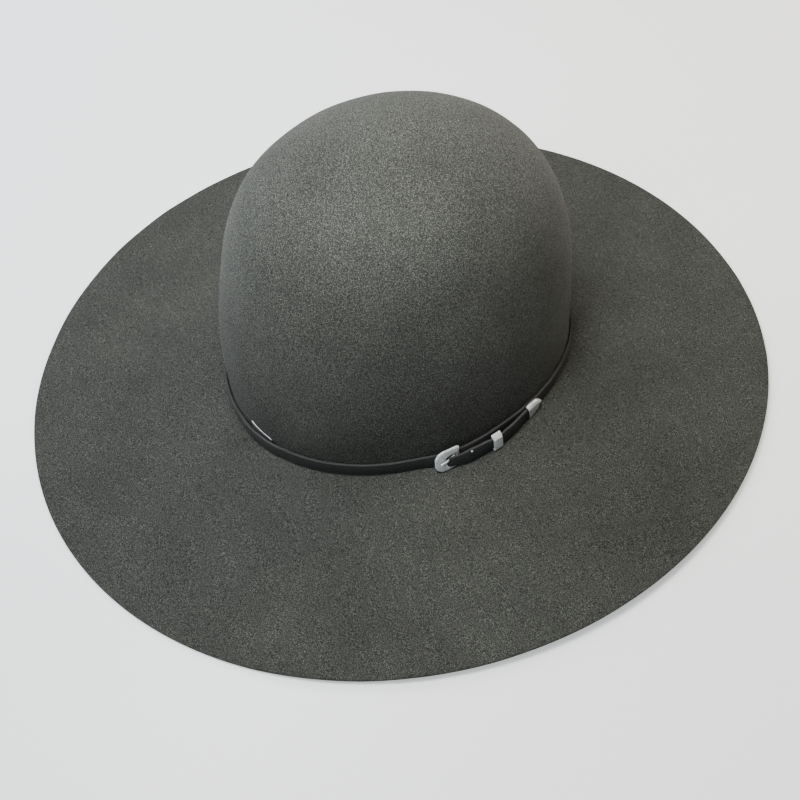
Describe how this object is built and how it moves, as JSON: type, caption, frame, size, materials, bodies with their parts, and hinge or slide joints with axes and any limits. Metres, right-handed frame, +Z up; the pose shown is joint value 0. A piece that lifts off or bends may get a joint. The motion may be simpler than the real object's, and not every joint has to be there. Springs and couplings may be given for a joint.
{
  "type": "felt hat",
  "caption": "Wide-brimmed felt hat with a tall rounded open crown and a narrow strap fastened by a small metal buckle, keeper and tip.",
  "frame": {"origin": "centre of the hat's outline, on the surface that the brim rests on", "axes": "+Z up through the crown, -Y towards the front of the hat, +X towards the wearer's left, where the buckle is"},
  "size_m": [0.4268, 0.4648, 0.174],
  "materials": {
    "body_felt": "dark grey fur felt, brushed and matt, with a fine light fibre",
    "band_felt": "the same felt, cut and pressed, a little darker",
    "buckle_metal": "nickel plated, polished and slightly satin",
    "plate_metal": "thin bright sheet metal"
  },
  "bodies": {
    "root": {"felt_body": "body_felt", "hat_band": "band_felt", "buckle_frame": "buckle_metal", "buckle_tongue": "buckle_metal", "keeper_loop": "buckle_metal", "strap_tip": "buckle_metal", "strap_pin": "buckle_metal", "pin_plate": "plate_metal"}
  },
  "joints": []
}
